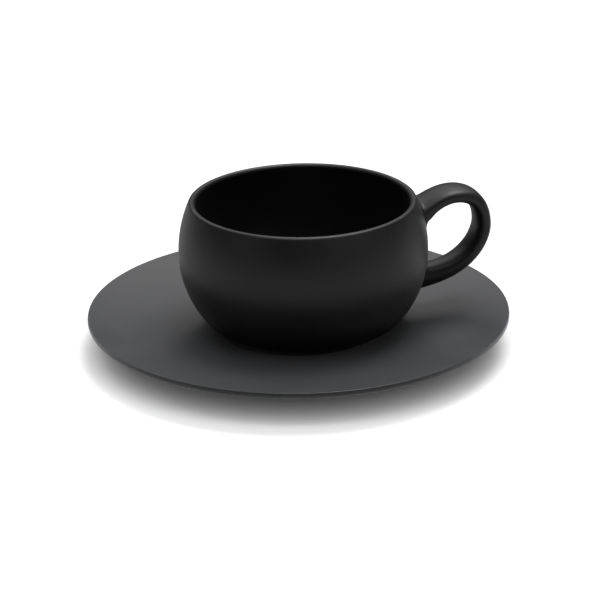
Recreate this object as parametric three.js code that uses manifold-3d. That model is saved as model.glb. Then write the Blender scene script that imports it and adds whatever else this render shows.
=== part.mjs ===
// Cappuccino cup with saucer in matte black stoneware.
// A round bowl stands on a low foot in the saucer's well, and a strap handle is luted to its side.
// Millimetres, +Z up. The origin is the centre of the saucer's base and the handle points along +X.
import * as THREE from "three";
import { mergeVertices } from "three/addons/utils/BufferGeometryUtils.js";
import Module from "manifold-3d";

// Saucer: a shallow dish, thin at its rounded edge, on a foot ring
const saucerRadius = 80;
const saucerHeight = 15;
const edgeThickness = 2.4;
const edgeSlope = 10.5; // degrees, rise of the dish where it meets the edge
const dishCurve = 470; // radius of the hollow upper face
const undersideCurve = 700; // flatter than the upper face, so the dish thickens inwards
const wellDepth = 1.3;
const wellStepRun = 3; // how far the well's soft step reaches outwards
const wellFloorThickness = 3.8;
const ringRadius = 40;
const ringWidth = 4;
const ringFillet = 2.5;
const ringRound = 0.8;

// Cup bowl: heights are measured from the cup's own foot
const bellyRadius = 47;
const bellyHeight = 30.9;
const rimInset = 4.2; // how far the shoulder draws in from belly to lip
const rimHeight = 50.2; // where the wall ends and the lip begins to turn over
const lipThickness = 2.7;
const bowlSideCurve = 39; // radius of the side below the belly
const bowlCornerCurve = 12;
const wall = 3.4; // at the belly and below, thinning to the lip above
const floorThickness = 4.6;
const floorCornerCurve = 12;
const footRadius = 26.5;
const footWidth = 3.4;
const footRecess = 1.3;
const footRound = 0.6;

// Fit of the cup on the saucer
const footPlay = 2.6; // how much wider the well is than the foot, all round
const seatClearance = 0.3; // left between foot and well, below and at the handle side
const bowlClearance = 0.7; // between the bowl's underside and the well's brim

// Strap handle: wide and flat at the top, narrow and thick at the lower root
const handleProjection = 26; // outer face beyond the belly
const upperRootDrop = 9.7; // below the top of the lip
const lowerRootDrop = 15.6; // below the belly
const reachDrop = 6.2; // the farthest point, below the upper root
const upperRootAngle = 52; // degrees above level, leaving the bowl
const lowerRootAngle = 3;
const upperRootPull = 11.3; // lengths of the curve's tangents at its ends and at the farthest point
const upperReachPull = 16.1;
const lowerReachPull = 5.1;
const lowerRootPull = 21.4;
const upperRootWidth = 16.2;
const reachWidth = 13.4;
const lowerRootWidth = 9.8;
const upperRootThickness = 6.4;
const reachThickness = 5.8;
const lowerRootThickness = 8.2;
const rootFlare = 1.5; // the strap swells by this where it runs into the bowl
const flareSharpness = 10; // how closely the swelling keeps to the root
const strapSquareness = 2.6; // exponent of the section: 2 is an ellipse, more is squarer
const luteGap = 0.3; // the slip joint between handle and bowl

// Smoothness of the faceted surfaces
const turnSegments = 64;
const broadSteps = 6;
const smallSteps = 3;
const strapSteps = 14; // along each half of the handle
const strapSides = 20;

const black = { color: 0x1b1b1d, metalness: 0 };
const saucerFinish = new THREE.MeshStandardMaterial({ ...black, roughness: 0.42 });
const bowlFinish = new THREE.MeshStandardMaterial({ ...black, roughness: 0.5 });
const handleFinish = new THREE.MeshStandardMaterial({ ...black, roughness: 0.46 });

const wasm = await Module();
wasm.setup();

const point = (radius, height) => new THREE.Vector2(radius, height);
const radians = THREE.MathUtils.degToRad;

// Points along an arc in the radius and height plane, from one angle to another.
function arc(centre, radius, from, to, steps) {
  const turn = new THREE.EllipseCurve(centre.x, centre.y, radius, radius, from, to, to < from);
  return turn.getPoints(steps);
}

// A profile that runs from the top of the axis, round the outside, to its bottom, turned about Z.
function turned(profile) {
  return new THREE.LatheGeometry([...profile].reverse(), turnSegments).rotateX(Math.PI / 2);
}

// Foot ring below a flat underside: outer fillet, rounded tread and recess, from outside to the axis.
function footRing(radius, width, top, recess, fillet, round) {
  const inner = radius - width;
  return [
    ...arc(point(radius + fillet, top - fillet), fillet, Math.PI / 2, Math.PI, smallSteps),
    ...arc(point(radius - round, round), round, 0, -Math.PI / 2, smallSteps),
    ...arc(point(inner + round, round), round, -Math.PI / 2, -Math.PI, smallSteps),
    point(inner, recess - round),
    point(inner - round, recess),
    point(0, recess),
  ];
}

// The dish's two faces share their slope at the edge and part towards the middle.
const edgeRound = edgeThickness / 2;
const edgeCentre = point(saucerRadius - edgeRound, saucerHeight - edgeRound);
const edgeAngle = Math.PI / 2 + radians(edgeSlope);
const edgeNormal = point(Math.cos(edgeAngle), Math.sin(edgeAngle));
const dishCentre = edgeCentre.clone().addScaledVector(edgeNormal, edgeRound + dishCurve);
const undersideCentre = edgeCentre.clone().addScaledVector(edgeNormal, undersideCurve - edgeRound);

// Angle on a face's arc at a given radius from the axis.
const angleAt = (centre, curve, radius) => -Math.acos((radius - centre.x) / curve);
const heightAt = (centre, curve, radius) => centre.y + curve * Math.sin(angleAt(centre, curve, radius));

const wellRadius = footRadius + footPlay;
const brimRadius = wellRadius + wellStepRun;
const brimHeight = heightAt(dishCentre, dishCurve, brimRadius);
const wellHeight = brimHeight - wellDepth;
const ringReach = ringRadius + ringFillet;

function saucerProfile() {
  const brimAngle = angleAt(dishCentre, dishCurve, brimRadius);
  const brimPull = point(-Math.sin(brimAngle), Math.cos(brimAngle)).multiplyScalar(-wellStepRun / 2);
  const step = new THREE.CubicBezierCurve(
    point(wellRadius, wellHeight),
    point(wellRadius + wellStepRun / 2, wellHeight),
    point(brimRadius, brimHeight).add(brimPull),
    point(brimRadius, brimHeight),
  );
  const edgeOnDish = edgeAngle - Math.PI;
  const ringTop = heightAt(undersideCentre, undersideCurve, ringReach);
  const ringAngle = angleAt(undersideCentre, undersideCurve, ringReach);
  return [
    point(0, wellHeight),
    ...step.getPoints(smallSteps),
    ...arc(dishCentre, dishCurve, brimAngle, edgeOnDish, broadSteps).slice(1),
    ...arc(edgeCentre, edgeRound, edgeAngle, edgeOnDish, broadSteps).slice(1),
    ...arc(undersideCentre, undersideCurve, edgeOnDish, ringAngle, broadSteps).slice(1, -1),
    ...footRing(ringRadius, ringWidth, ringTop, wellHeight - wellFloorThickness, ringFillet, ringRound),
  ];
}

// The wall is two arcs that meet upright at the belly: the shoulder above and the side below.
const rim = point(bellyRadius - rimInset, rimHeight);
const outerShoulder = shoulder(bellyRadius, rim);
const lipSlant = point(Math.cos(outerShoulder.angle), Math.sin(outerShoulder.angle));
const lipCentre = rim.clone().addScaledVector(lipSlant, -lipThickness / 2);
const innerShoulder = shoulder(bellyRadius - wall, rim.clone().addScaledVector(lipSlant, -lipThickness));
const sideCentre = point(bellyRadius - bowlSideCurve, bellyHeight);
const footHeight = wellDepth + bowlClearance - seatClearance;

// Shoulder arc from the belly, where it stands upright, in to the point where the lip begins.
function shoulder(belly, end) {
  const inward = belly - end.x;
  const upward = end.y - bellyHeight;
  const curve = (inward ** 2 + upward ** 2) / (2 * inward);
  return { centre: point(belly - curve, bellyHeight), curve, angle: Math.asin(upward / curve) };
}

// Corner arc that runs from the bowl's side, whose radius is given, into a level floor.
function corner(sideCurve, cornerCurve, floorHeight) {
  const reach = sideCurve - cornerCurve;
  const drop = bellyHeight - floorHeight - cornerCurve;
  const angle = -Math.asin(drop / reach);
  const centre = point(sideCentre.x + reach * Math.cos(angle), floorHeight + cornerCurve);
  return { centre, angle };
}

// One face of the bowl, inside or outside, from the lip down to its floor.
function bowlFace({ centre, curve, angle }, sideCurve, cornerCurve, floorHeight) {
  const turn = corner(sideCurve, cornerCurve, floorHeight);
  return [
    ...arc(centre, curve, angle, 0, broadSteps),
    ...arc(sideCentre, sideCurve, 0, turn.angle, broadSteps).slice(1),
    ...arc(turn.centre, cornerCurve, turn.angle, -Math.PI / 2, broadSteps).slice(1),
  ];
}

function bowlProfile() {
  const floorHeight = footHeight + floorThickness;
  const inside = bowlFace(innerShoulder, bowlSideCurve - wall, floorCornerCurve, floorHeight);
  const lipTurn = outerShoulder.angle;
  const lip = arc(lipCentre, lipThickness / 2, lipTurn + Math.PI, lipTurn, 2 * smallSteps);
  return [
    point(0, floorHeight),
    ...inside.reverse(),
    ...lip.slice(1, -1),
    ...bowlFace(outerShoulder, bowlSideCurve, bowlCornerCurve, footHeight),
    ...footRing(footRadius, footWidth, footHeight, footRecess, footRound, footRound),
  ];
}

// The bowl's outside as a full form, grown by the slip joint, that shapes the ends of the handle.
function bowlForm() {
  const grown = { ...outerShoulder, curve: outerShoulder.curve + luteGap };
  const below = footHeight - luteGap;
  const outside = bowlFace(grown, bowlSideCurve + luteGap, bowlCornerCurve + luteGap, below);
  const top = outside[0].y;
  const bottom = outside[outside.length - 1].y;
  return turned([point(0, top), ...outside, point(0, bottom)]);
}

function outsideRadiusAt(height) {
  const above = height - bellyHeight;
  const centre = above > 0 ? outerShoulder.centre : sideCentre;
  const curve = above > 0 ? outerShoulder.curve : bowlSideCurve;
  return centre.x + Math.sqrt(curve ** 2 - above ** 2);
}

const lipHeight = lipCentre.y + lipThickness / 2;
const upright = (radius, height) => new THREE.Vector3(radius, 0, height);

// Centreline of the strap: an upper and a lower curve that meet upright at the farthest point.
function handleCurves() {
  const upperHeight = lipHeight - upperRootDrop;
  const lowerHeight = bellyHeight - lowerRootDrop;
  const reach = bellyRadius + handleProjection - reachThickness / 2;
  const farthest = upright(reach, upperHeight - reachDrop);
  const upperRoot = upright(outsideRadiusAt(upperHeight), upperHeight);
  const lowerRoot = upright(outsideRadiusAt(lowerHeight), lowerHeight);
  const leaving = (angle, pull) => upright(Math.cos(angle), Math.sin(angle)).multiplyScalar(pull);
  const upper = new THREE.CubicBezierCurve3(
    upperRoot,
    upperRoot.clone().add(leaving(radians(upperRootAngle), upperRootPull)),
    farthest.clone().add(upright(0, upperReachPull)),
    farthest,
  );
  const lower = new THREE.CubicBezierCurve3(
    farthest,
    farthest.clone().sub(upright(0, lowerReachPull)),
    lowerRoot.clone().add(leaving(radians(lowerRootAngle), lowerRootPull)),
    lowerRoot,
  );
  return { upper, lower };
}

// One rounded section across the strap, square to its centreline.
function strapSection(centre, tangent, width, thickness) {
  const outward = upright(-tangent.z, tangent.x);
  const rounded = (value) => Math.sign(value) * Math.abs(value) ** (2 / strapSquareness);
  return Array.from({ length: strapSides }, (_, side) => {
    const angle = (2 * Math.PI * side) / strapSides;
    const place = centre.clone().addScaledVector(outward, (thickness / 2) * rounded(Math.cos(angle)));
    place.y = (width / 2) * rounded(Math.sin(angle));
    return place;
  });
}

// Sections from the upper root to the lower, with one more at each end inside the bowl.
function strapSections() {
  const { upper, lower } = handleCurves();
  const grown = (reachSize, rootSize, nearRoot) =>
    THREE.MathUtils.lerp(reachSize, rootSize, nearRoot ** 2) + rootFlare * nearRoot ** flareSharpness;
  const sectionAt = (curve, along, rootWidth, rootThickness, nearRoot) =>
    strapSection(
      curve.getPoint(along),
      curve.getTangent(along),
      grown(reachWidth, rootWidth, nearRoot),
      grown(reachThickness, rootThickness, nearRoot),
    );
  const sections = [];
  for (let step = 0; step <= strapSteps; step++) {
    const along = step / strapSteps;
    sections.push(sectionAt(upper, along, upperRootWidth, upperRootThickness, 1 - along));
  }
  for (let step = 1; step <= strapSteps; step++) {
    const along = step / strapSteps;
    sections.push(sectionAt(lower, along, lowerRootWidth, lowerRootThickness, along));
  }
  const carriedOn = (section, direction, distance) =>
    section.map((place) => place.clone().addScaledVector(direction, distance));
  sections.unshift(carriedOn(sections[0], upper.getTangent(0), -upperRootThickness));
  sections.push(carriedOn(sections[sections.length - 1], lower.getTangent(1), lowerRootThickness));
  return sections;
}

// A closed skin over a row of sections with the same number of points.
function lofted(sections) {
  const sides = sections[0].length;
  const places = sections.flat();
  const faces = [];
  for (let row = 0; row < sections.length - 1; row++) {
    for (let side = 0; side < sides; side++) {
      const a = row * sides + side;
      const b = row * sides + ((side + 1) % sides);
      faces.push(a, a + sides, b, b, a + sides, b + sides);
    }
  }
  const last = (sections.length - 1) * sides;
  for (let side = 1; side < sides - 1; side++) {
    faces.push(0, side, side + 1);
    faces.push(last, last + side + 1, last + side);
  }
  return new THREE.BufferGeometry().setFromPoints(places).setIndex(faces);
}

function solid(geometry) {
  geometry.deleteAttribute("normal");
  geometry.deleteAttribute("uv");
  const merged = mergeVertices(geometry);
  const vertProperties = merged.attributes.position.array;
  const triVerts = new Uint32Array(merged.index.array);
  return new wasm.Manifold(new wasm.Mesh({ numProp: 3, vertProperties, triVerts }));
}

function surface(manifold) {
  const mesh = manifold.getMesh();
  const geometry = new THREE.BufferGeometry();
  geometry.setAttribute("position", new THREE.BufferAttribute(mesh.vertProperties, 3));
  geometry.setIndex(new THREE.BufferAttribute(mesh.triVerts, 1));
  geometry.computeVertexNormals();
  return geometry;
}

function handleGeometry() {
  const strap = solid(lofted(strapSections()));
  return surface(strap.subtract(solid(bowlForm())));
}

function named(name, geometry, finish) {
  const mesh = new THREE.Mesh(geometry, finish);
  mesh.name = name;
  return mesh;
}

const cup = new THREE.Group();
cup.add(named("cup_body", turned(bowlProfile()), bowlFinish));
cup.add(named("cup_handle", handleGeometry(), handleFinish));
// The foot stands at the handle side of its well.
cup.position.set(footPlay - seatClearance, 0, wellHeight + seatClearance);

const cupAndSaucer = new THREE.Group();
cupAndSaucer.add(named("saucer", turned(saucerProfile()), saucerFinish));
cupAndSaucer.add(cup);

export default cupAndSaucer;
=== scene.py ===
# Cappuccino cup with saucer in matte black stoneware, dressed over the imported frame.
# Sizes in the dictionaries are millimetres, angles degrees. The handle points along +X.
import bpy
import math
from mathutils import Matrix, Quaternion, Vector


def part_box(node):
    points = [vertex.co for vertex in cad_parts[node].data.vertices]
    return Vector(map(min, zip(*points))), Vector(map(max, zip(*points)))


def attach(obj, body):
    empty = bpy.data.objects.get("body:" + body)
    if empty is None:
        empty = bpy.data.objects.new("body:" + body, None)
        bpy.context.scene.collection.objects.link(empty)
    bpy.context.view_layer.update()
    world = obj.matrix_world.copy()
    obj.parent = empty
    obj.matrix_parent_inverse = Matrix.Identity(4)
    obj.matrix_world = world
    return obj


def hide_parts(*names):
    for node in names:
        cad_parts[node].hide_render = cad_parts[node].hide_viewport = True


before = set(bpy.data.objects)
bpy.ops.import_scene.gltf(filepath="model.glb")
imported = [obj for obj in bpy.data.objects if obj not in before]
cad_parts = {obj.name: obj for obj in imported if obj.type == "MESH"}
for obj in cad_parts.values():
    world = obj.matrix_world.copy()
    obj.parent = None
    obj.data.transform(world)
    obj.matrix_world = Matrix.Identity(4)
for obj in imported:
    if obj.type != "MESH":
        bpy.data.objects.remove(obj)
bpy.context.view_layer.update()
mm = 0.001
mergeGap = 0.002 * mm  # points closer than this become one


# Modelling helpers

def deselectAll():
    bpy.ops.object.select_all(action="DESELECT")


def arcPoints(centre, radius, start, end, steps):
    # points on an arc in the radius and height plane
    points = []
    for step in range(steps + 1):
        angle = math.radians(start + (end - start) * step / steps)
        points.append((centre[0] + radius * math.cos(angle), centre[1] + radius * math.sin(angle)))
    return points


def curvePoint(corners, along):
    # a point on a cubic curve with four control corners
    back = 1 - along
    weights = (back**3, 3 * back**2 * along, 3 * back * along**2, along**3)
    return tuple(sum(w * c[axis] for w, c in zip(weights, corners)) for axis in (0, 1))


def curveSlope(corners, along):
    # direction of the same curve, in degrees above level
    back = 1 - along
    weights = (back**2, 2 * back * along, along**2)
    legs = [(b[0] - a[0], b[1] - a[1]) for a, b in zip(corners, corners[1:])]
    across, up = (sum(w * leg[axis] for w, leg in zip(weights, legs)) for axis in (0, 1))
    return math.degrees(math.atan2(up, across))


def moved(place, slope, distance):
    angle = math.radians(slope)
    return (place[0] + distance * math.cos(angle), place[1] + distance * math.sin(angle))


def mixed(a, b, share):
    return a + (b - a) * share


def spinProfile(name, profile, axis, turns):
    # a line of points is extruded from one vertex, then spun about the upright axis
    deselectAll()
    start = (axis[0] + profile[0][0] * mm, axis[1], axis[2] + profile[0][1] * mm)
    bpy.ops.mesh.primitive_plane_add(size=mm, location=start)
    piece = bpy.context.object
    piece.name = name
    bpy.ops.object.transform_apply(location=True, rotation=True, scale=True)
    bpy.ops.object.mode_set(mode="EDIT")
    bpy.ops.mesh.merge(type="CENTER")
    for here, there in zip(profile, profile[1:]):
        step = ((there[0] - here[0]) * mm, 0, (there[1] - here[1]) * mm)
        bpy.ops.mesh.extrude_region_move(TRANSFORM_OT_translate={"value": step})
    bpy.ops.mesh.select_all(action="SELECT")
    bpy.ops.mesh.spin(steps=turns, angle=math.tau, center=axis, axis=(0, 0, 1))
    bpy.ops.mesh.select_all(action="SELECT")
    bpy.ops.mesh.remove_doubles(threshold=mergeGap)
    bpy.ops.mesh.normals_make_consistent(inside=False)
    bpy.ops.object.mode_set(mode="OBJECT")
    bpy.ops.object.shade_smooth()
    return piece


footMesh = {
    "filletSteps": 8,
    "treadSteps": 6,
    "recessShares": (0.6, 0.25, 0),  # edge loops in the recess, as shares of its radius
}


def footRing(radius, width, top, recess, fillet, tread):
    # foot ring below an underside: outer fillet, rounded tread, recess, then in to the axis
    inner = radius - width
    steps = footMesh["treadSteps"]
    return (
        arcPoints((radius + fillet, top - fillet), fillet, 90, 180, footMesh["filletSteps"])
        + arcPoints((radius - tread, tread), tread, 0, -90, steps)
        + arcPoints((inner + tread, tread), tread, -90, -180, steps)
        + arcPoints((inner - tread, recess - tread), tread, 0, 90, steps)
        + [(inner * share, recess) for share in footMesh["recessShares"]]
    )


# Saucer: a shallow dish with a thin edge, crisp above and rolled below, and a well for the cup's foot

saucerLow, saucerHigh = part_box("saucer")
saucerDims = {
    "radius": (saucerHigh.x - saucerLow.x) / 2 / mm,
    "height": saucerHigh.z / mm,
    "edge": 2.2,  # thickness at the edge
    "arris": 0.3,  # its crisp upper corner
    "roll": 1.3,  # its rounder lower corner
    "edgeSlope": 10.5,
    "dishCurve": 470,
    "undersideCurve": 700,
    "wellRadius": 29.1,
    "wellDepth": 1.3,
    "wellStep": 3,
    "wellFloor": 3.8,
    "ringRadius": 40,
    "ringWidth": 4,
    "ringFillet": 2.5,
    "ringTread": 0.8,
    "wellLoops": (0, 8, 18, 26),  # radii of the edge loops on the well's flat floor
    "brimSteps": 10,  # up the step from the well to the dish
    "dishSteps": 28,
    "arrisSteps": 8,
    "rollSteps": 12,
    "undersideSteps": 20,
    "turns": 192,
}


def onHollow(centre, curve, radius):
    # height and angle on a hollow face, whose centre lies above it, at a radius from the axis
    across = radius - centre[0]
    return centre[1] - math.sqrt(curve**2 - across**2), -math.degrees(math.acos(across / curve))


def saucerProfile(dims):
    slope, arris, roll = (dims[name] for name in ("edgeSlope", "arris", "roll"))
    flat = dims["edge"] - arris - roll  # of the edge, which stands square to the dish
    across, drop = moved(moved((0, 0), slope, arris - roll), slope - 90, flat)
    lower = (dims["radius"] - roll, dims["height"] - arris + drop)
    upper = (lower[0] - across, lower[1] - drop)
    dish, under = dims["dishCurve"], dims["undersideCurve"]
    dishCentre = moved(upper, slope + 90, dish + arris)
    underCentre = moved(lower, slope + 90, under - roll)
    brim = dims["wellRadius"] + dims["wellStep"]
    brimHeight, brimAngle = onHollow(dishCentre, dish, brim)
    wellHeight = brimHeight - dims["wellDepth"]
    half = dims["wellStep"] / 2
    step = (
        (dims["wellRadius"], wellHeight),
        (dims["wellRadius"] + half, wellHeight),
        moved((brim, brimHeight), brimAngle + 90, -half),
        (brim, brimHeight),
    )
    brimSteps = dims["brimSteps"]
    fillet = dims["ringFillet"]
    ringTop, ringAngle = onHollow(underCentre, under, dims["ringRadius"] + fillet)
    recess = wellHeight - dims["wellFloor"]
    return (
        [(radius, wellHeight) for radius in dims["wellLoops"]]
        + [curvePoint(step, count / brimSteps) for count in range(brimSteps + 1)]
        + arcPoints(dishCentre, dish, brimAngle, slope - 90, dims["dishSteps"])[1:]
        + arcPoints(upper, arris, slope + 90, slope, dims["arrisSteps"])[1:]
        + arcPoints(lower, roll, slope, slope - 90, dims["rollSteps"])
        + arcPoints(underCentre, under, slope - 90, ringAngle, dims["undersideSteps"])[1:-1]
        + footRing(dims["ringRadius"], dims["ringWidth"], ringTop, recess, fillet, dims["ringTread"])
    )


def makeSaucer():
    saucer = spinProfile("saucer_dish", saucerProfile(saucerDims), (0, 0, 0), saucerDims["turns"])
    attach(saucer, "saucer")
    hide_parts("saucer")
    print("saucer modelled:", len(saucer.data.polygons), "faces")
    return saucer


# Cup bowl: two arcs meet upright at the belly, heights measured from the cup's own foot

bowlLow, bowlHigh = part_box("cup_body")
cupSeat = ((bowlLow.x + bowlHigh.x) / 2, (bowlLow.y + bowlHigh.y) / 2, bowlLow.z)
bowlDims = {
    "belly": (bowlHigh.y - bowlLow.y) / 2 / mm,
    "bellyHeight": 30.9,
    "rimInset": 4.2,
    "height": (bowlHigh.z - bowlLow.z) / mm,
    "lipRise": 0.79,  # of the rolled lip above the end of the outer face
    "lip": 2.7,
    "sideCurve": 39,
    "cornerCurve": 12,
    "wall": 3.4,
    "footHeight": 1.7,
    "floor": 4.6,
    "footRadius": 26.5,
    "footWidth": 3.4,
    "footRecess": 1.3,
    "footTread": 0.6,
    "floorLoops": (0, 7, 15, 22),  # radii of the edge loops on the flat floor inside
    "shoulderSteps": 20,
    "sideSteps": 20,
    "cornerSteps": 16,
    "lipSteps": 18,
    "turns": 192,
}


def shoulderArc(dims, belly, end):
    # arc from the belly, where it stands upright, in to the point where the lip begins
    inward, upward = belly - end[0], end[1] - dims["bellyHeight"]
    curve = (inward**2 + upward**2) / (2 * inward)
    return (belly - curve, dims["bellyHeight"]), curve, math.degrees(math.asin(upward / curve))


def bowlShoulders(dims):
    # outer and inner shoulder arcs, and the middle of the lip between their ends
    rim = (dims["belly"] - dims["rimInset"], dims["height"] - dims["lipRise"])
    outer = shoulderArc(dims, dims["belly"], rim)
    inner = shoulderArc(dims, dims["belly"] - dims["wall"], moved(rim, outer[2], -dims["lip"]))
    return outer, inner, moved(rim, outer[2], -dims["lip"] / 2)


def bowlFace(dims, shoulder, sideCurve, floorHeight):
    # one face of the bowl, inside or outside, from the lip down to its floor
    centre, curve, angle = shoulder
    side = (dims["belly"] - dims["sideCurve"], dims["bellyHeight"])
    corner = dims["cornerCurve"]
    reach = sideCurve - corner
    turn = -math.degrees(math.asin((dims["bellyHeight"] - floorHeight - corner) / reach))
    cornerCentre = moved(side, turn, reach)
    return (
        arcPoints(centre, curve, angle, 0, dims["shoulderSteps"])
        + arcPoints(side, sideCurve, 0, turn, dims["sideSteps"])[1:]
        + arcPoints(cornerCentre, corner, turn, -90, dims["cornerSteps"])[1:]
    )


def bowlProfile(dims):
    outer, inner, lipCentre = bowlShoulders(dims)
    floorHeight = dims["footHeight"] + dims["floor"]
    inside = bowlFace(dims, inner, dims["sideCurve"] - dims["wall"], floorHeight)
    foot = [dims[name] for name in ("footRadius", "footWidth", "footHeight", "footRecess")]
    tread = dims["footTread"]  # the same rounding joins the ring to the bowl
    return (
        [(radius, floorHeight) for radius in dims["floorLoops"]]
        + inside[::-1]
        + arcPoints(lipCentre, dims["lip"] / 2, outer[2] + 180, outer[2], dims["lipSteps"])[1:-1]
        + bowlFace(dims, outer, dims["sideCurve"], dims["footHeight"])
        + footRing(*foot, tread, tread)
    )


def makeBowl():
    bowl = spinProfile("cup_bowl", bowlProfile(bowlDims), cupSeat, bowlDims["turns"])
    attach(bowl, "cup")
    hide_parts("cup_body")
    print("bowl modelled:", len(bowl.data.polygons), "faces")
    return bowl


# Strap handle: a rounded section carried along an arch and run out onto the bowl at both roots

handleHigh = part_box("cup_handle")[1]
handleDims = {
    "reach": (handleHigh.x - cupSeat[0]) / mm,  # outer face, from the cup's axis
    "upperDrop": 9.7,  # upper root below the lip
    "lowerDrop": 15.6,  # lower root below the belly
    "reachDrop": 6.2,  # the farthest point, below the upper root
    "upperSlope": 52,
    "lowerSlope": 3,
    "upperPulls": (11.3, 16.1),  # at the root and at the farthest point
    "lowerPulls": (21.4, 5.1),
    "upperSize": (16.2, 6.4),  # width and thickness of the strap
    "reachSize": (13.4, 5.8),
    "lowerSize": (9.8, 8.2),
    "rootFlare": 1.5,
    "flareSharpness": 10,
    "cornerProfile": 0.587,  # 0.5 rounds the section to an ellipse, more is squarer
    "cornerSteps": 9,
    "stations": 32,  # along each half of the arch
    "leanRun": 0.3,  # share of each half in which sections lean over to the bowl's face
    "fillet": 1.4,
    "filletSteps": 6,
    "skirt": (1.0, -0.1),  # spread and height of the fillet's last run, just under the skin
    "sunk": 0.9,  # of the strap's ends, under the bowl's skin
}


def bowlOutside(dims, height):
    # radius of the bowl's outside at a height, and the slope of its face outwards
    outer = bowlShoulders(dims)[0]
    above = height - dims["bellyHeight"]
    centre = outer[0][0] if above > 0 else dims["belly"] - dims["sideCurve"]
    curve = outer[1] if above > 0 else dims["sideCurve"]
    return centre + math.sqrt(curve**2 - above**2), math.degrees(math.asin(above / curve))


def strapSection(dims, corners, rootSize, faceSlope, along, share):
    # share 0 stands square to the strap, share 1 lies flat on the bowl's face
    slope = curveSlope(corners, along)
    tilt = mixed(slope, faceSlope, share)
    near = min(1, 1 - along)  # 1 at the root and under the skin
    flare = dims["rootFlare"] * near ** dims["flareSharpness"]
    width, thick = (mixed(far, root, near**2) + flare for far, root in zip(dims["reachSize"], rootSize))
    return {
        "centre": curvePoint(corners, along),
        "slope": tilt,
        "width": width,
        "thick": thick / math.cos(math.radians(slope - tilt)),
        "above": None,
    }


def halfHandle(dims, corners, rootSize, faceSlope):
    # from the end sunk in the bowl's wall, out over the fillet, to the farthest point of the arch
    fillet = dims["fillet"]
    spreads = [(fillet, -dims["sunk"]), (fillet + dims["skirt"][0], dims["skirt"][1])]
    for step in range(dims["filletSteps"] + 1):
        turn = math.radians(90 * step / dims["filletSteps"])
        spreads.append((fillet * (1 - math.sin(turn)), fillet * (1 - math.cos(turn))))
    pace = 3 * math.dist(corners[0], corners[1])  # of a cubic curve where it leaves its end
    pace *= math.cos(math.radians(curveSlope(corners, 0) - faceSlope))
    rows = []
    for spread, above in spreads:
        row = strapSection(dims, corners, rootSize, faceSlope, above / pace, 1)
        row["width"] += 2 * spread
        row["thick"] += 2 * spread
        row["above"] = above
        rows.append(row)
    filletTop = fillet / pace
    for count in range(1, dims["stations"] + 1):
        along = mixed(filletTop, 1, count / dims["stations"])
        share = max(0, 1 - (along - filletTop) / (dims["leanRun"] - filletTop))
        share = share * share * (3 - 2 * share)  # eased at both ends
        rows.append(strapSection(dims, corners, rootSize, faceSlope, along, share))
    return rows


def archHalf(root, slope, pulls, far, farSlope):
    # corners of the curve from a root out to the farthest point, where it runs upright
    return (root, moved(root, slope, pulls[0]), moved(far, farSlope, pulls[1]), far)


def handleSections(dims, bowl):
    upperHeight = bowl["height"] - dims["upperDrop"]
    lowerHeight = bowl["bellyHeight"] - dims["lowerDrop"]
    upperRadius, upperFace = bowlOutside(bowl, upperHeight)
    lowerRadius, lowerFace = bowlOutside(bowl, lowerHeight)
    far = (dims["reach"] - dims["reachSize"][1] / 2, upperHeight - dims["reachDrop"])
    upper = archHalf((upperRadius, upperHeight), dims["upperSlope"], dims["upperPulls"], far, 90)
    lower = archHalf((lowerRadius, lowerHeight), dims["lowerSlope"], dims["lowerPulls"], far, -90)
    upperHalf = halfHandle(dims, upper, dims["upperSize"], upperFace)
    lowerHalf = halfHandle(dims, lower, dims["lowerSize"], lowerFace)
    for row in lowerHalf:
        row["slope"] -= 180  # this half is followed inwards
    return upperHalf + lowerHalf[-2::-1]


def turnSection(slope, place):
    # lays a flat section square to the slope; with no window the operator turns the other way
    bpy.ops.transform.rotate(value=-math.radians(90 - slope), orient_axis="Y", center_override=place)


def flattenSection(slope, place):
    bpy.ops.transform.rotate(value=math.radians(90 - slope), orient_axis="Y", center_override=place)


def sectionPlace(row):
    return Vector((cupSeat[0] + row["centre"][0] * mm, cupSeat[1], cupSeat[2] + row["centre"][1] * mm))


def strapAlong(name, rows, dims):
    # a plane with rounded corners is the section; it is extruded from row to row
    deselectAll()
    place = sectionPlace(rows[0])
    bpy.ops.mesh.primitive_plane_add(size=1, location=place)
    piece = bpy.context.object
    piece.name = name
    bpy.ops.object.transform_apply(location=True, rotation=True, scale=True)
    bpy.ops.object.mode_set(mode="EDIT")
    bpy.ops.mesh.bevel(
        affect="VERTICES",
        offset_type="PERCENT",
        offset_pct=50,  # the four corners meet halfway along the sides
        segments=dims["cornerSteps"],
        profile=dims["cornerProfile"],
    )
    bpy.ops.mesh.remove_doubles(threshold=mm)  # the section is still a metre across
    size = (rows[0]["thick"] * mm, rows[0]["width"] * mm, 1)
    bpy.ops.transform.resize(value=size, center_override=place)
    turnSection(rows[0]["slope"], place)
    for count, row in enumerate(rows):
        if count:
            last = rows[count - 1]
            step = sectionPlace(row) - place
            place = sectionPlace(row)
            bpy.ops.mesh.extrude_region_move(TRANSFORM_OT_translate={"value": step})
            flattenSection(last["slope"], place)
            grow = (row["thick"] / last["thick"], row["width"] / last["width"], 1)
            bpy.ops.transform.resize(value=grow, center_override=place)
            turnSection(row["slope"], place)
            bpy.ops.object.vertex_group_remove_from(use_all_groups=True)  # extruding copies the groups
        if row["above"] is not None:
            piece.vertex_groups.new(name=f"root{count}")
            bpy.ops.object.vertex_group_assign()
    bpy.ops.mesh.select_all(action="SELECT")
    bpy.ops.mesh.normals_make_consistent(inside=False)
    bpy.ops.object.mode_set(mode="OBJECT")
    return piece


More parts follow.
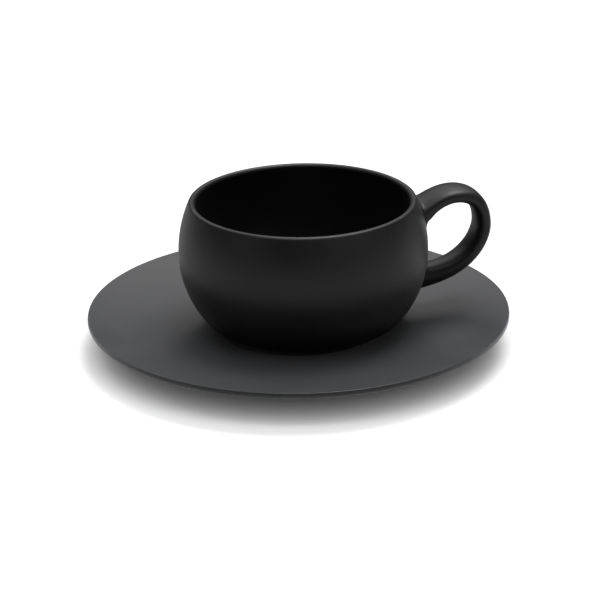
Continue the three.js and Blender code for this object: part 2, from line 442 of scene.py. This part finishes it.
def layRootsOn(piece, rows, bowl):
    # each ring of the root is drawn to its own height over the bowl's skin
    for count, row in enumerate(rows):
        if row["above"] is None:
            continue
        wrap = piece.modifiers.new(f"root{count}", "SHRINKWRAP")
        wrap.target = bowl
        wrap.wrap_method = "NEAREST_SURFACEPOINT"
        wrap.wrap_mode = "ABOVE_SURFACE"
        wrap.offset = row["above"] * mm
        wrap.vertex_group = f"root{count}"
        bpy.ops.object.modifier_apply(modifier=wrap.name)
    piece.vertex_groups.clear()


def makeHandle(bowl):
    rows = handleSections(handleDims, bowlDims)
    handle = strapAlong("cup_strap_handle", rows, handleDims)
    layRootsOn(handle, rows, bowl)
    bpy.ops.object.shade_smooth()
    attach(handle, "cup")
    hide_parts("cup_handle")
    print("handle modelled:", len(handle.data.polygons), "faces")
    return handle


# Glaze

def newGroup(name, inputs, outputs):
    group = bpy.data.node_groups.new(name, "ShaderNodeTree")
    for direction, sockets in (("INPUT", inputs), ("OUTPUT", outputs)):
        for socketName, kind in sockets:
            group.interface.new_socket(socketName, in_out=direction, socket_type=kind)
    return group, group.nodes.new("NodeGroupInput"), group.nodes.new("NodeGroupOutput")


def noiseNode(tree, vector, scale, detail):
    noise = tree.nodes.new("ShaderNodeTexNoise")
    noise.inputs["Scale"].default_value = scale
    noise.inputs["Detail"].default_value = detail
    tree.links.new(vector, noise.inputs["Vector"])
    return noise.outputs["Fac"]


def rangeNode(tree, value, low, high, toLow, toHigh):
    node = tree.nodes.new("ShaderNodeMapRange")
    node.interpolation_type = "SMOOTHSTEP"
    for name, number in (("From Min", low), ("From Max", high), ("To Min", toLow), ("To Max", toHigh)):
        node.inputs[name].default_value = number
    tree.links.new(value, node.inputs["Value"])
    return node.outputs["Result"]


def mathNode(tree, operation, first, second):
    node = tree.nodes.new("ShaderNodeMath")
    node.operation = operation
    for socket, value in zip(node.inputs, (first, second)):
        if isinstance(value, (int, float)):
            socket.default_value = value
        else:
            tree.links.new(value, socket)
    return node.outputs["Value"]


def mixColour(tree, share, first, second):
    node = tree.nodes.new("ShaderNodeMix")
    node.data_type = "RGBA"
    tree.links.new(share, node.inputs["Factor"])
    for socket, value in ((node.inputs["A"], first), (node.inputs["B"], second)):
        if isinstance(value, tuple):
            socket.default_value = (*value, 1)
        else:
            tree.links.new(value, socket)
    return node.outputs["Result"]


skinDims = {
    "cloudScale": 55,
    "cloudDetail": 3,
    "cloudRange": (0.3, 0.7),
    "fineDetail": 2,  # of the grain, the peel and the clay's edge
    "grainScale": 2600,
    "grainHeight": 0.4,  # of the fine grain, beside the slower peel
    "grainGloss": 0.5,  # of the grain in the roughness, beside the clouds
    "peelScale": 620,
    "bumpStrength": 0.05,
    "bumpDepth": 0.1,
    "ior": 1.5,
    "sheenRoughness": 0.5,
    "clay": (0.075, 0.070, 0.066),
    "clayRoughness": 0.85,
    "clayScale": 900,
    "treadHeight": 0.35,  # the glaze is wiped off the foot up to here
    "treadFade": 0.1,
    "treadWander": 0.3,
    "lipRun": 1.2,  # the glaze thins over this much of the lip
}

# the same glaze as the cup's; its colour is painted paler for the light that falls on the level saucer
saucerGlazePaintedPaler = {
    "deep": (0.0095, 0.0098, 0.0105),
    "thin": (0.0140, 0.0143, 0.0150),
    "roughness": (0.31, 0.37),
    "sheen": 0.54,
    "sheenTint": (0.92, 0.94, 1.0),
    "treadLevel": 0,  # where its foot stands
    "lipLevel": None,  # no rolled lip
}

# the same glaze as the saucer's; its colour is painted darker for the shade on the cup's upright faces,
# hollow and lower bowl
cupGlazePaintedDarker = {
    "deep": (0.0032, 0.0032, 0.0035),
    "thin": (0.0062, 0.0062, 0.0064),
    "roughness": (0.43, 0.49),
    "sheen": 0.04,
    "sheenTint": (0.96, 0.975, 1.0),
    "treadLevel": cupSeat[2] / mm,
    "lipLevel": bowlHigh.z / mm,
}


def makeSkinGroup():
    # slow clouds of thicker and thinner glaze, and the fine skin of a satin surface
    group, entry, out = newGroup(
        "glazeSkin",
        [("Vector", "NodeSocketVector")],
        [("Cloud", "NodeSocketFloat"), ("Grain", "NodeSocketFloat"), ("Height", "NodeSocketFloat")],
    )
    vector = entry.outputs["Vector"]
    cloud = noiseNode(group, vector, skinDims["cloudScale"], skinDims["cloudDetail"])
    cloud = rangeNode(group, cloud, *skinDims["cloudRange"], 0, 1)
    grain = noiseNode(group, vector, skinDims["grainScale"], skinDims["fineDetail"])
    peel = noiseNode(group, vector, skinDims["peelScale"], skinDims["fineDetail"])
    height = mathNode(group, "ADD", mathNode(group, "MULTIPLY", grain, skinDims["grainHeight"]), peel)
    group.links.new(cloud, out.inputs["Cloud"])
    group.links.new(grain, out.inputs["Grain"])
    group.links.new(height, out.inputs["Height"])
    return group


def makeFootGroup():
    # bare clay on the tread of a foot ring, with the wandering edge of wiped glaze
    group, entry, out = newGroup(
        "bareFoot",
        [("Vector", "NodeSocketVector"), ("Tread", "NodeSocketFloat")],
        [("Bare", "NodeSocketFloat")],
    )
    vector = entry.outputs["Vector"]
    split = group.nodes.new("ShaderNodeSeparateXYZ")
    group.links.new(vector, split.inputs["Vector"])
    wander = noiseNode(group, vector, skinDims["clayScale"], skinDims["fineDetail"])
    wander = mathNode(group, "MULTIPLY", wander, skinDims["treadWander"] * mm)
    above = mathNode(group, "SUBTRACT", split.outputs["Z"], entry.outputs["Tread"])
    above = mathNode(group, "SUBTRACT", above, wander)
    top, fade = skinDims["treadHeight"] * mm, skinDims["treadFade"] * mm
    group.links.new(rangeNode(group, above, top - fade, top, 1, 0), out.inputs["Bare"])
    return group


def lipMask(tree, vector, level):
    # rises from 0 to 1 towards the top of the lip
    split = tree.nodes.new("ShaderNodeSeparateXYZ")
    tree.links.new(vector, split.inputs["Vector"])
    return rangeNode(tree, split.outputs["Z"], (level - skinDims["lipRun"]) * mm, level * mm, 0, 1)


def groupNode(tree, group, vector):
    node = tree.nodes.new("ShaderNodeGroup")
    node.node_tree = group
    tree.links.new(vector, node.inputs["Vector"])
    return node


def addBump(tree, height, shader):
    bump = tree.nodes.new("ShaderNodeBump")
    bump.inputs["Strength"].default_value = skinDims["bumpStrength"]
    bump.inputs["Distance"].default_value = skinDims["bumpDepth"] * mm
    tree.links.new(height, bump.inputs["Height"])
    tree.links.new(bump.outputs["Normal"], shader.inputs["Normal"])


def addSheen(shader, dims):
    # a dry glaze is paler where it is seen aslant
    shader.inputs["Sheen Weight"].default_value = dims["sheen"]
    shader.inputs["Sheen Roughness"].default_value = skinDims["sheenRoughness"]
    shader.inputs["Sheen Tint"].default_value = (*dims["sheenTint"], 1)


def makeGlaze(name, skin, foot, dims):
    material = bpy.data.materials.new(name)
    material.use_nodes = True
    tree = material.node_tree
    shader = tree.nodes["Principled BSDF"]
    vector = tree.nodes.new("ShaderNodeTexCoord").outputs["Object"]
    layer = groupNode(tree, skin, vector)
    tread = groupNode(tree, foot, vector)
    tread.inputs["Tread"].default_value = dims["treadLevel"] * mm
    bare = tread.outputs["Bare"]
    thinness = layer.outputs["Cloud"]
    if dims["lipLevel"]:
        thinness = mathNode(tree, "MAXIMUM", thinness, lipMask(tree, vector, dims["lipLevel"]))
    glazed = mixColour(tree, thinness, dims["deep"], dims["thin"])
    tree.links.new(mixColour(tree, bare, glazed, skinDims["clay"]), shader.inputs["Base Color"])
    speckle = mathNode(tree, "MULTIPLY", layer.outputs["Grain"], skinDims["grainGloss"])
    dryness = mathNode(tree, "ADD", speckle, layer.outputs["Cloud"])
    rough = rangeNode(tree, dryness, 0, 1 + skinDims["grainGloss"], *dims["roughness"])
    drier = mathNode(tree, "MULTIPLY", bare, skinDims["clayRoughness"])
    tree.links.new(mathNode(tree, "MAXIMUM", rough, drier), shader.inputs["Roughness"])
    shader.inputs["IOR"].default_value = skinDims["ior"]
    addBump(tree, layer.outputs["Height"], shader)
    addSheen(shader, dims)
    print("glaze made:", name)
    return material


# Studio: a pale floor, a key softbox high at the back right, softer ones about it, and one for the floor

studioDims = {
    "floorSize": 8,  # metres
    "floorSeen": (0.78, 0.78, 0.78),  # by the camera
    "floorBounce": (0.35, 0.35, 0.35),  # what it gives back to the cup
    "fill": 0.05,  # of the room on matt surfaces
    "gleam": 0.03,  # of the same room in reflections
}

# side turns from straight behind the cup to the camera's right, rise is above level
# away and size are metres, and a level of 1 shines as white
softboxes = [
    {"name": "top_softbox", "side": 180, "rise": 86, "away": 2.6, "size": (2.6, 2.6), "level": 1.35},
    {"name": "key_softbox", "side": 40, "rise": 72, "away": 2.8, "size": (1.4, 1.0), "level": 8.6},
    {"name": "back_softbox", "side": 0, "rise": 43, "away": 2.8, "size": (3.8, 1.6), "level": 1.4},
    {"name": "left_softbox", "side": -115, "rise": 25, "away": 3.0, "size": (1.8, 1.0), "level": 0.3},
    {"name": "right_softbox", "side": 125, "rise": 25, "away": 3.0, "size": (2.2, 1.0), "level": 0.5},
]

# lights the floor alone, so that it stays white and the shadow stays close under the saucer
floorSoftbox = {
    "name": "floor_softbox",
    "side": 180,
    "rise": 45,
    "away": 3.2,
    "size": (4.8, 3.2),
    "level": 3.5,
}

viewDims = {
    "azimuth": -13.4,
    "elevation": 22.09,
    "distance": 900,
    "aimHeight": 13.8,
    "roll": -0.95,
    "lens": 142,
    "sensor": 36,
    "shift": (0.0027, 0.018),
    "clipStart": 10,
}


def makeFloor():
    deselectAll()
    bpy.ops.mesh.primitive_plane_add(size=studioDims["floorSize"])
    floor = bpy.context.object
    floor.name = "studio_floor"
    material = bpy.data.materials.new("studio_white")
    material.use_nodes = True
    tree = material.node_tree
    shader = tree.nodes["Principled BSDF"]
    path = tree.nodes.new("ShaderNodeLightPath")
    bounce, seen = studioDims["floorBounce"], studioDims["floorSeen"]
    pale = mixColour(tree, path.outputs["Is Camera Ray"], bounce, seen)
    tree.links.new(pale, shader.inputs["Base Color"])
    shader.inputs["Roughness"].default_value = 1
    shader.inputs["Specular IOR Level"].default_value = 0
    floor.data.materials.append(material)
    return floor


def makeWorld():
    # white where the camera looks straight at it, an even fill on matt surfaces, dim in reflections
    world = bpy.data.worlds.new("studio")
    bpy.context.scene.world = world
    world.use_nodes = True
    world.cycles.sampling_method = "NONE"
    tree = world.node_tree
    background = tree.nodes["Background"]
    background.inputs["Color"].default_value = (1, 1, 1, 1)
    path = tree.nodes.new("ShaderNodeLightPath")
    fill = mathNode(tree, "MULTIPLY", path.outputs["Is Diffuse Ray"], studioDims["fill"])
    level = mathNode(tree, "MAXIMUM", fill, studioDims["gleam"])
    level = mathNode(tree, "MAXIMUM", level, path.outputs["Is Camera Ray"])
    tree.links.new(level, background.inputs["Strength"])


def addSoftbox(box):
    turn = math.radians(viewDims["azimuth"] - box["side"])
    rise = math.radians(box["rise"])
    outward = Vector((-math.sin(turn) * math.cos(rise), math.cos(turn) * math.cos(rise), math.sin(rise)))
    deselectAll()
    bpy.ops.object.light_add(type="AREA", location=outward * box["away"])
    lamp = bpy.context.object
    lamp.name = box["name"]
    lamp.rotation_euler = outward.to_track_quat("Z", "Y").to_euler()
    lamp.visible_camera = False
    lamp.data.shape = "RECTANGLE"
    width, height = box["size"]
    lamp.data.size, lamp.data.size_y = width, height
    lamp.data.energy = box["level"] * math.pi * width * height
    return lamp


def lightFloor(floor):
    onlyFloor = bpy.data.collections.new("only_floor")
    onlyFloor.objects.link(floor)
    addSoftbox(floorSoftbox).light_linking.receiver_collection = onlyFloor


def makeCamera():
    turn, rise = math.radians(viewDims["azimuth"]), math.radians(viewDims["elevation"])
    back = Vector((math.sin(turn) * math.cos(rise), -math.cos(turn) * math.cos(rise), math.sin(rise)))
    aim = Vector((0, 0, viewDims["aimHeight"] * mm))
    bpy.ops.object.camera_add(location=aim + back * viewDims["distance"] * mm)
    camera = bpy.context.object
    roll = Quaternion((0, 0, 1), math.radians(viewDims["roll"]))
    camera.rotation_euler = (back.to_track_quat("Z", "Y") @ roll).to_euler()
    camera.data.sensor_width = viewDims["sensor"]
    camera.data.lens = viewDims["lens"]
    camera.data.shift_x, camera.data.shift_y = viewDims["shift"]
    camera.data.clip_start = viewDims["clipStart"] * mm
    bpy.context.scene.camera = camera
    print("camera set")


def dress():
    skin, foot = makeSkinGroup(), makeFootGroup()
    cupFinish = makeGlaze("cup_satin_glaze", skin, foot, cupGlazePaintedDarker)
    saucerFinish = makeGlaze("saucer_satin_glaze", skin, foot, saucerGlazePaintedPaler)
    saucer = makeSaucer()
    bowl = makeBowl()
    handle = makeHandle(bowl)
    for piece, finish in ((saucer, saucerFinish), (bowl, cupFinish), (handle, cupFinish)):
        piece.data.materials.clear()
        piece.data.materials.append(finish)
    floor = makeFloor()
    makeWorld()
    lightFloor(floor)
    for box in softboxes:
        addSoftbox(box)
    print("studio lit:", len(softboxes), "softboxes and one for the floor")
    makeCamera()
    bpy.context.scene.view_settings.view_transform = "Standard"


dress()
